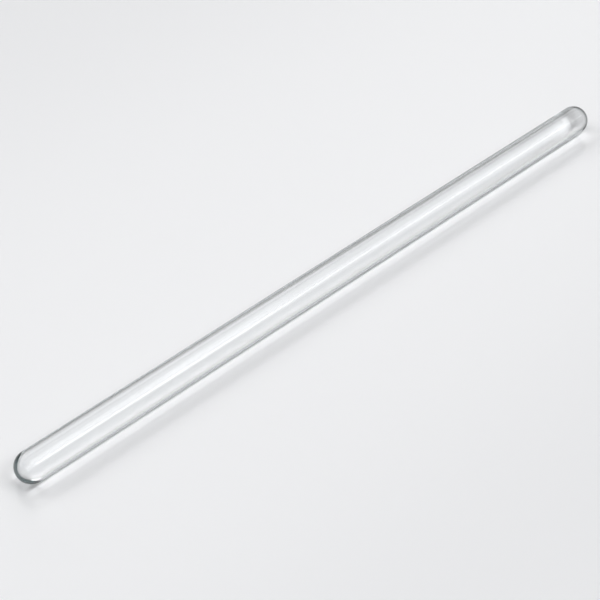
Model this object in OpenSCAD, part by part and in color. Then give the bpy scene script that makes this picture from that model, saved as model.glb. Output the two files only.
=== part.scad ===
// Glass stirring rod: one length of drawn solid glass rod, cut off at both ends and then held in
// a flame until the cut edges melt and pull round into smooth domes. There is no bore and no joint.
// The rod lies along X, with its origin on its axis, halfway between its tips.

/* [Shank] */
// Diameter of the drawn glass
rod_d = 8; // [4:0.5:12]
// Length from tip to tip
rod_len = 200; // [100:5:400]

/* [Flame-polished ends] */
// How far the flame has rounded each end, in percent of the radius: 100 is a full dome
polish = 100; // [10:5:100]

/* [Hidden] */
$fn = 96;
rod_r = rod_d / 2;
// Radius that the flame leaves on the edge of each end
edge_r = rod_r * polish / 100;
// From the middle of the rod to a tip, and to where the straight shank stops
tip_x = rod_len / 2;
shank_x = tip_x - edge_r;
glass_colour = [0.84, 0.90, 0.89, 0.45];

// Section through one end and its half of the shank, to the right of the axis, with its tip at the top
module end_section() {
    intersection() {
        square([rod_r, tip_x]);
        union() {
            square([rod_r, shank_x]);
            translate([rod_r - edge_r, shank_x]) circle(r = edge_r);
            if (edge_r < rod_r) square([rod_r - edge_r, tip_x]);
        }
    }
}

// The rod: both halves of the section, turned once about the axis and laid along X
module rod() {
    color(glass_colour)
        rotate([0, 90, 0])
            rotate_extrude() {
                end_section();
                mirror([0, 1]) end_section();
            }
}

rod();
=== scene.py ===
"""A glass stirring rod: solid drawn glass with flame-polished ends, lying on a pale studio table."""

import math

import bpy
from mathutils import Matrix, Vector


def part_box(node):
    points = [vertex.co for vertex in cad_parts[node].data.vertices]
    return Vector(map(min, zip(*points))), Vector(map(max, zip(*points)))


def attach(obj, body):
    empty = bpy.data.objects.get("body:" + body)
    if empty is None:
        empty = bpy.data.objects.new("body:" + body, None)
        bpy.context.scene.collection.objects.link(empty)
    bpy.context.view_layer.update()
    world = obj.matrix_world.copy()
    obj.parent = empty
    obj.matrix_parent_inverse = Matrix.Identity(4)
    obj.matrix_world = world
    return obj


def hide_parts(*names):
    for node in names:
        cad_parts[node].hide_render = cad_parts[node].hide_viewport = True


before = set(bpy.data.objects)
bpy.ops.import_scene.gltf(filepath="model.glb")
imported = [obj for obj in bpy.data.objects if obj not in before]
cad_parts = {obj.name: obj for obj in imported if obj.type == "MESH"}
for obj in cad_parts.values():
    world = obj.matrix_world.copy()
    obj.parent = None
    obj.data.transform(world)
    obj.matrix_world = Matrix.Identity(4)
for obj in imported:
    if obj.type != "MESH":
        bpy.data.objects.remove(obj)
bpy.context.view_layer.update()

bl_info = {
    "name": "Glass Stirring Rod",
    "version": (1, 0, 0),
    "blender": (4, 5, 0),
    "location": "3D View > Sidebar > Stirring Rod",
    "description": "Makes a solid glass stirring rod and the table and soft light that show it",
    "category": "Add Mesh",
}

ROD_LOW, ROD_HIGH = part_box("rod")
ROD_LENGTH = ROD_HIGH.x - ROD_LOW.x
ROD_DIAMETER = ROD_HIGH.z - ROD_LOW.z
TABLE_TOP = ROD_LOW.z


# --- Node trees ---------------------------------------------------------------------------------


class Number:
    """A socket that carries a number, so that an expression on it adds its Math nodes."""

    def __init__(self, graph, socket):
        self.graph = graph
        self.socket = socket

    def math(self, operation, *others, clamp=False):
        settings = {"operation": operation, "use_clamp": clamp}
        return self.graph.node("ShaderNodeMath", settings, [self, *others])

    def __add__(self, other):
        return self.math("ADD", other)

    def __sub__(self, other):
        return self.math("SUBTRACT", other)

    def __mul__(self, other):
        return self.math("MULTIPLY", other)

    def __truediv__(self, other):
        return self.math("DIVIDE", other)

    def __rsub__(self, other):
        return self.graph.node("ShaderNodeMath", {"operation": "SUBTRACT"}, [other, self])

    __radd__ = __add__
    __rmul__ = __mul__

    def size(self):
        return self.math("ABSOLUTE")

    def sine(self):
        return self.math("SINE")

    def cosine(self):
        return self.math("COSINE")

    def clamped(self):
        return self.math("ADD", 0.0, clamp=True)


class Graph:
    """A node tree under construction, shader or geometry."""

    def __init__(self, tree):
        self.tree = tree
        tree.nodes.clear()

    def node(self, kind, settings=None, inputs=(), output=0):
        """Adds a node: its settings first, then the values or links of its sockets."""
        made = self.tree.nodes.new(kind)
        for name, value in (settings or {}).items():
            setattr(made, name, value)
        pairs = inputs.items() if isinstance(inputs, dict) else enumerate(inputs)
        for key, value in pairs:
            if isinstance(value, Number):
                value = value.socket
            if isinstance(value, bpy.types.NodeSocket):
                self.tree.links.new(value, made.inputs[key])
            elif value is not None:
                made.inputs[key].default_value = value
        return Number(self, made.outputs[output]) if len(made.outputs) else made


# --- Sizes and looks ----------------------------------------------------------------------------


class RodSettings(bpy.types.PropertyGroup):
    """Sizes of the rod."""

    length: bpy.props.FloatProperty(
        name="Length",
        description="From tip to tip",
        default=ROD_LENGTH,
        unit="LENGTH",
    )
    diameter: bpy.props.FloatProperty(
        name="Diameter",
        description="Across the drawn glass",
        default=ROD_DIAMETER,
        unit="LENGTH",
    )
    sides: bpy.props.IntProperty(
        name="Sides",
        description="Faces round the rod",
        default=320,
        min=12,
    )
    dome_rings: bpy.props.IntProperty(
        name="Dome rings",
        description="Rings of faces from each tip to the shank",
        default=80,
        min=4,
    )
    shank_rings: bpy.props.IntProperty(
        name="Shank rings",
        description="Rings of faces along the shank",
        default=100,
        min=1,
    )


class GlassSettings(bpy.types.PropertyGroup):
    """Looks of the glass."""

    tint: bpy.props.FloatVectorProperty(
        name="Tint",
        description="Colour that light takes on through the glass",
        default=(0.50, 0.58, 0.59),
        subtype="COLOR",
    )
    tint_density: bpy.props.FloatProperty(
        name="Tint density",
        description="How quickly the glass takes up light, per metre",
        default=10.0,
    )
    clear_colour: bpy.props.FloatVectorProperty(
        name="Clear",
        description="Colour of the glass where it is seen face on",
        default=(0.90, 0.903, 0.906),
        subtype="COLOR",
    )
    # Painted shade: a near-black colour painted on the glass where it is seen edge on, standing in for
    # the dark outlines that refraction gives.
    painted_rim_colour: bpy.props.FloatVectorProperty(
        name="Edge",
        description="Colour of the glass where it is seen edge on",
        default=(0.12, 0.13, 0.135),
        subtype="COLOR",
    )
    ior: bpy.props.FloatProperty(
        name="Refractive index",
        description="Index of the glass",
        default=1.474,
    )
    draw_line_height: bpy.props.FloatProperty(
        name="Draw lines",
        description="Height of the faint lines that drawing leaves along the shank",
        default=0.0000005,
        unit="LENGTH",
    )
    haze: bpy.props.FloatProperty(
        name="Haze",
        description="Highest roughness, where the rod has been handled",
        default=0.008,
    )


class StageSettings(bpy.types.PropertyGroup):
    """The table, the light and the camera."""

    table_colour: bpy.props.FloatVectorProperty(
        name="Table",
        description="Colour of the table top",
        default=(0.88, 0.885, 0.90),
        subtype="COLOR",
    )
    table_roughness: bpy.props.FloatProperty(
        name="Table roughness",
        description="Roughness of the table top",
        default=0.2,
    )
    room_light: bpy.props.FloatProperty(
        name="Room",
        description="Brightness of the room around the panels",
        default=0.15,
    )
    panel_light: bpy.props.FloatProperty(
        name="Panels",
        description="Brightness of all the panels together",
        default=0.78,
    )
    camera_turn: bpy.props.FloatProperty(
        name="Camera turn",
        description="Angle about the vertical from square on to the rod",
        default=math.radians(-44.6),
        subtype="ANGLE",
    )
    camera_height: bpy.props.FloatProperty(
        name="Camera height",
        description="Angle above the table",
        default=math.radians(40.5),
        subtype="ANGLE",
    )
    camera_distance: bpy.props.FloatProperty(
        name="Camera distance",
        description="From the point that the camera looks at",
        default=0.4545,
        unit="LENGTH",
    )
    camera_aim: bpy.props.FloatVectorProperty(
        name="Camera aim",
        description="The point that the camera looks at, a little short of the rod's middle",
        default=(-0.0128, -0.0014, 0.0),
        subtype="TRANSLATION",
    )
    lens: bpy.props.FloatProperty(
        name="Lens",
        description="Focal length in millimetres on a 36 mm sensor",
        default=110.0,
    )


def in_scene(name):
    """One of the scene's groups of settings."""
    return getattr(bpy.context.scene, name)


# --- The rod ------------------------------------------------------------------------------------

# Points that meet at a tip or along the seam are closer than this, in metres.
MERGE_DISTANCE = 1e-7


def group_input(tree, name, kind):
    """Adds a named input to a geometry tree and returns its identifier."""
    socket = tree.interface.new_socket(name=name, in_out="INPUT", socket_type=kind)
    return socket.identifier


def rod_tree(material):
    """A sheet of faces rolled round X: domes at its two ends and a straight shank between them."""
    tree = bpy.data.node_groups.new("rod_from_rule", "GeometryNodeTree")
    sockets = {
        "length": group_input(tree, "Length", "NodeSocketFloat"),
        "radius": group_input(tree, "Radius", "NodeSocketFloat"),
        "sides": group_input(tree, "Sides", "NodeSocketInt"),
        "dome_rings": group_input(tree, "Dome Rings", "NodeSocketInt"),
        "shank_rings": group_input(tree, "Shank Rings", "NodeSocketInt"),
    }
    tree.interface.new_socket(name="Geometry", in_out="OUTPUT", socket_type="NodeSocketGeometry")
    graph = Graph(tree)
    given = tree.nodes.new("NodeGroupInput")
    length, radius, sides, dome_rings, shank_rings = (
        Number(graph, given.outputs[name])
        for name in ("Length", "Radius", "Sides", "Dome Rings", "Shank Rings")
    )
    rings = dome_rings * 2 + shank_rings
    sheet = graph.node(
        "GeometryNodeMeshGrid",
        inputs={"Size X": 1.0, "Size Y": 1.0, "Vertices X": rings + 1, "Vertices Y": sides + 1},
    )
    place = graph.node("GeometryNodeInputPosition")
    split = tree.nodes.new("ShaderNodeSeparateXYZ")
    tree.links.new(place.socket, split.inputs[0])
    ring = (Number(graph, split.outputs["X"]) + 0.5) * rings
    turn = (Number(graph, split.outputs["Y"]) + 0.5) * (2 * math.pi)
    first_dome = (ring / dome_rings).clamped() * (math.pi / 2)
    shank = ((ring - dome_rings) / shank_rings).clamped()
    last_dome = ((ring - dome_rings - shank_rings) / dome_rings).clamped() * (math.pi / 2)
    half_shank = length / 2 - radius
    along = half_shank * (shank * 2 - 1) + radius * (last_dome.sine() - first_dome.cosine())
    across = radius * first_dome.sine() * last_dome.cosine()
    rolled = graph.node(
        "ShaderNodeCombineXYZ",
        inputs={"X": along, "Y": across * turn.sine(), "Z": across * turn.cosine()},
    )
    skin = graph.node("GeometryNodeSetPosition", inputs={"Geometry": sheet, "Position": rolled})
    closed = graph.node(
        "GeometryNodeMergeByDistance",
        inputs={"Geometry": skin, "Distance": MERGE_DISTANCE},
    )
    smooth = graph.node("GeometryNodeSetShadeSmooth", inputs={"Geometry": closed})
    real = graph.node("GeometryNodeRealizeInstances", inputs={"Geometry": smooth})
    glazed = graph.node("GeometryNodeSetMaterial", inputs={"Geometry": real, "Material": material})
    graph.node("NodeGroupOutput", inputs={"Geometry": glazed})
    return tree, sockets


# Draw lines are long along the rod and fine across it, and smudges are broad. Both are per metre.
DRAW_LINE_SCALE = (4.0, 900.0, 900.0)
SMUDGE_SCALE = 45.0
# The haze starts where the smudge noise passes the first value, and is full from the second.
SMUDGE_SPAN = (0.5, 0.75)
# The glass turns from its clear colour to a painted dark rim between these slants. This is painted
# shade that stands in for the dark outlines refraction gives. 0 is face on, 1 edge on.
PAINTED_RIM_SPAN = (0.34, 0.64)
# A Mix node gives its sockets for each kind of value the same names, so colours go by number.
MIX_COLOUR_A = 6
MIX_COLOUR_B = 7
MIX_COLOUR_RESULT = 2


def glass_material():
    """Clear drawn glass with painted dark rims (painted shade set by the slant of the view), a faint
    tint, draw lines and a little handling haze.
    """
    looks = in_scene("glass_settings")
    material = bpy.data.materials.new("drawn_glass")
    material.use_nodes = True
    graph = Graph(material.node_tree)
    place = graph.node("ShaderNodeTexCoord", output="Object")
    lines_place = graph.node("ShaderNodeMapping", inputs={"Vector": place, "Scale": DRAW_LINE_SCALE})
    lines = graph.node(
        "ShaderNodeTexNoise",
        inputs={"Vector": lines_place, "Scale": 1.0, "Detail": 2.0},
    )
    relief = graph.node(
        "ShaderNodeBump",
        inputs={"Strength": 1.0, "Distance": looks.draw_line_height, "Height": lines},
    )
    smudges = graph.node(
        "ShaderNodeTexNoise",
        inputs={"Vector": place, "Scale": SMUDGE_SCALE, "Detail": 3.0},
    )
    haze_start, haze_full = SMUDGE_SPAN
    haze = ((smudges - haze_start) / (haze_full - haze_start)).clamped() * looks.haze
    slant = graph.node("ShaderNodeLayerWeight", inputs={"Blend": 0.5}, output="Facing")
    # Painted shade: the rims are darkened by how edge-on the surface is seen, not by the light that
    # reaches them.
    edge = graph.node(
        "ShaderNodeMapRange",
        {"interpolation_type": "SMOOTHSTEP"},
        {"Value": slant, "From Min": PAINTED_RIM_SPAN[0], "From Max": PAINTED_RIM_SPAN[1]},
    )
    colour = graph.node(
        "ShaderNodeMix",
        {"data_type": "RGBA"},
        {
            "Factor": edge,
            MIX_COLOUR_A: (*looks.clear_colour, 1.0),
            MIX_COLOUR_B: (*looks.painted_rim_colour, 1.0),
        },
        output=MIX_COLOUR_RESULT,
    )
    surface = graph.node(
        "ShaderNodeBsdfPrincipled",
        inputs={
            "Base Color": colour,
            "Roughness": haze,
            "IOR": looks.ior,
            "Transmission Weight": 1.0,
            "Normal": relief,
        },
    )
    depth = graph.node(
        "ShaderNodeVolumeAbsorption",
        inputs={"Color": (*looks.tint, 1.0), "Density": looks.tint_density},
    )
    graph.node("ShaderNodeOutputMaterial", inputs={"Surface": surface, "Volume": depth})
    return material


def evaluated_mesh(tree, values, name, material):
    """Runs a geometry tree on an empty mesh and returns what it makes as a plain mesh."""
    empty = bpy.data.meshes.new(name + "_carrier")
    empty.materials.append(material)
    carrier = bpy.data.objects.new(name + "_carrier", empty)
    bpy.context.scene.collection.objects.link(carrier)
    modifier = carrier.modifiers.new("rule", "NODES")
    modifier.node_group = tree
    for identifier, value in values.items():
        modifier[identifier] = value
    seen = carrier.evaluated_get(bpy.context.evaluated_depsgraph_get())
    mesh = bpy.data.meshes.new_from_object(seen)
    carrier.modifiers.remove(modifier)
    bpy.data.objects.remove(carrier)
    mesh.name = name
    return mesh


class ROD_OT_make_rod(bpy.types.Operator):
    """Make the glass rod from its length and diameter"""

    bl_idname = "stirring_rod.make_rod"
    bl_label = "Make Glass Rod"

    def execute(self, context):
        sizes = context.scene.rod_settings
        glass = glass_material()
        tree, sockets = rod_tree(glass)
        values = {
            sockets["length"]: sizes.length,
            sockets["radius"]: sizes.diameter / 2,
            sockets["sides"]: sizes.sides,
            sockets["dome_rings"]: sizes.dome_rings,
            sockets["shank_rings"]: sizes.shank_rings,
        }
        rod = bpy.data.objects.new("glass_rod", evaluated_mesh(tree, values, "glass_rod", glass))
        context.scene.collection.objects.link(rod)
        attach(rod, "root")
        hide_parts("rod")
        return {"FINISHED"}


# --- The stage ----------------------------------------------------------------------------------

TABLE_HALF_WIDTH = 3.0


def table_material():
    """Plain, pale, smooth table top with a soft sheen."""
    looks = in_scene("stage_settings")
    material = bpy.data.materials.new("pale_table")
    material.use_nodes = True
    graph = Graph(material.node_tree)
    surface = graph.node(
        "ShaderNodeBsdfPrincipled",
        inputs={"Base Color": (*looks.table_colour, 1.0), "Roughness": looks.table_roughness},
    )
    graph.node("ShaderNodeOutputMaterial", inputs={"Surface": surface})
    return material


def aimed(place, target):
    """A transform at place whose -Z looks at target, with its own X kept level."""
    turned = (place - target).to_track_quat("Z", "Y")
    return Matrix.Translation(place) @ turned.to_matrix().to_4x4()


# The rod bends light like a lens, so each band along it shows one height in the room. The panels'
# angles are in degrees. Lean goes from behind the rod (0) over its top (90) to its front (180),
# and swing from across its middle (0) towards its +X end (90).
PANELS = {
    "low_window": {"lean": (-5, 28), "swing": (15, 50), "light": 1.6},
    "window": {"lean": (40, 58), "swing": (15, 50), "light": 2.0},
    "side_window": {"lean": (30, 61), "swing": (-60, 8), "light": 2.4},
    "ceiling": {"lean": (70, 121), "swing": (-40, 45), "light": 1.5},
    "front_upper": {"lean": (126, 134), "swing": (0, 45), "light": 4.5},
    "front_middle": {"lean": (133, 140), "swing": (10, 32), "light": 5.5},
}
# Width of each panel's soft edge, in degrees.
PANEL_EDGE = 5


def window(angle, span):
    """1 where the angle lies in the span and 0 beyond, with a soft edge between."""
    centre = sum(span) / 2
    half = (span[1] - span[0]) / 2
    return angle.graph.node(
        "ShaderNodeMapRange",
        {"interpolation_type": "SMOOTHSTEP"},
        {
            "Value": (angle - math.radians(centre)).size(),
            "From Min": math.radians(half - PANEL_EDGE / 2),
            "From Max": math.radians(half + PANEL_EDGE / 2),
            "To Min": 1.0,
            "To Max": 0.0,
        },
    )


def room_light():
    """A dim room with soft rectangular panels of light, placed by their angles about the rod."""
    looks = in_scene("stage_settings")
    world = bpy.data.worlds.new("room")
    world.use_nodes = True
    bpy.context.scene.world = world
    graph = Graph(world.node_tree)
    way = graph.node("ShaderNodeTexCoord", output="Generated")
    along, across, up = (
        graph.node("ShaderNodeSeparateXYZ", inputs=[way], output=axis) for axis in ("X", "Y", "Z")
    )
    lean = up.math("ARCTAN2", across)
    swing = along.math("ARCSINE")
    light = looks.room_light
    for panel in PANELS.values():
        inside = window(lean, panel["lean"]) * window(swing, panel["swing"])
        light = inside * (panel["light"] * looks.panel_light) + light
    glow = graph.node(
        "ShaderNodeBackground",
        inputs={"Color": (1.0, 1.0, 1.0, 1.0), "Strength": light},
    )
    graph.node("ShaderNodeOutputWorld", inputs={"Surface": glow})


SENSOR_WIDTH = 36.0
# Nothing nearer to the camera than this is seen, in metres.
CLIP_START = 0.01


def add_camera():
    """Sets the camera back from the point it looks at, by its two angles and its distance."""
    looks = in_scene("stage_settings")
    data = bpy.data.cameras.new("camera")
    data.lens = looks.lens
    data.sensor_width = SENSOR_WIDTH
    camera = bpy.data.objects.new("camera", data)
    bpy.context.scene.collection.objects.link(camera)
    azimuth = looks.camera_turn
    elevation = looks.camera_height
    back = Vector((
        math.sin(azimuth) * math.cos(elevation),
        -math.cos(azimuth) * math.cos(elevation),
        math.sin(elevation),
    ))
    aim = Vector(looks.camera_aim)
    camera.matrix_world = aimed(aim + back * looks.camera_distance, aim)
    data.clip_start = CLIP_START
    bpy.context.scene.camera = camera


LIGHT_BOUNCES = 64


def let_light_run_on(cycles):
    """Lets light bounce many times in the glass, and leaves what it throws on the table unsoftened."""
    for limit in ("max_bounces", "transmission_bounces", "glossy_bounces"):
        setattr(cycles, limit, LIGHT_BOUNCES)
    cycles.blur_glossy = 0.0
    cycles.sample_clamp_indirect = 0.0


class ROD_OT_make_stage(bpy.types.Operator):
    """Lay the table, light it and set the camera"""

    bl_idname = "stirring_rod.make_stage"
    bl_label = "Make Stage"

    def execute(self, context):
        add_camera()
        room_light()
        mesh = bpy.data.meshes.new("table")
        corners = [
            (x * TABLE_HALF_WIDTH, y * TABLE_HALF_WIDTH, TABLE_TOP)
            for x, y in ((-1, -1), (1, -1), (1, 1), (-1, 1))
        ]
        mesh.from_pydata(corners, [], [(0, 1, 2, 3)])
        mesh.materials.append(table_material())
        table = bpy.data.objects.new("table", mesh)
        context.scene.collection.objects.link(table)
        let_light_run_on(context.scene.cycles)
        return {"FINISHED"}


class ROD_PT_panel(bpy.types.Panel):
    """The rod's and the stage's buttons"""

    bl_label = "Stirring Rod"
    bl_idname = "ROD_PT_panel"
    bl_space_type = "VIEW_3D"
    bl_region_type = "UI"
    bl_category = "Stirring Rod"

    def draw(self, context):
        for settings in ("rod_settings", "glass_settings", "stage_settings"):
            group = getattr(context.scene, settings)
            for name in group.__annotations__:
                self.layout.prop(group, name)
        self.layout.operator(ROD_OT_make_stage.bl_idname)
        self.layout.operator(ROD_OT_make_rod.bl_idname)


CLASSES = (
    RodSettings,
    GlassSettings,
    StageSettings,
    ROD_OT_make_stage,
    ROD_OT_make_rod,
    ROD_PT_panel,
)
SETTINGS = {
    "rod_settings": RodSettings,
    "glass_settings": GlassSettings,
    "stage_settings": StageSettings,
}


def register():
    for cls in CLASSES:
        bpy.utils.register_class(cls)
    for name, group in SETTINGS.items():
        setattr(bpy.types.Scene, name, bpy.props.PointerProperty(type=group))


def unregister():
    for name in SETTINGS:
        delattr(bpy.types.Scene, name)
    for cls in reversed(CLASSES):
        bpy.utils.unregister_class(cls)


def main():
    """Makes the stage and the rod."""
    register()
    bpy.context.scene.view_settings.view_transform = "Standard"
    bpy.ops.stirring_rod.make_stage()
    bpy.ops.stirring_rod.make_rod()


if __name__ == "__main__":
    main()
